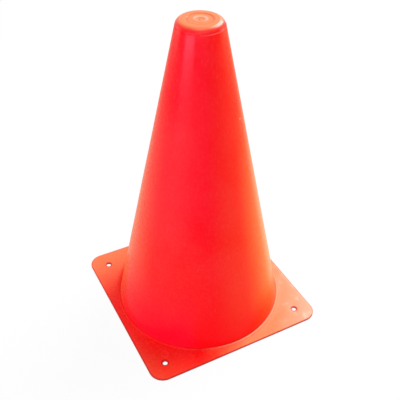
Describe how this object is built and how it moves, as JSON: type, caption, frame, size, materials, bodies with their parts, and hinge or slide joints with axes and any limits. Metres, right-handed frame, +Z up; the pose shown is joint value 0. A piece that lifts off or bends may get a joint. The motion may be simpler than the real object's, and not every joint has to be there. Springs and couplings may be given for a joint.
{
  "type": "sports marker cone",
  "caption": "Hollow tapered marker cone with a rounded top cap on a square base plate with peg holes in its corners; stands on the ground and nests over a like cone.",
  "frame": {"origin": "on the floor, under the cone's axis, at the centre of the base plate's underside", "axes": "+Z up along the cone's axis; X and Y square to the sides of the base plate"},
  "size_m": [0.138, 0.138, 0.2286],
  "materials": {
    "fluorescent_red_plastic": "semi-gloss moulded polyethylene"
  },
  "bodies": {
    "root": {"base_plate": "fluorescent_red_plastic", "cone_shell": "fluorescent_red_plastic", "top_cap": "fluorescent_red_plastic"}
  },
  "joints": []
}
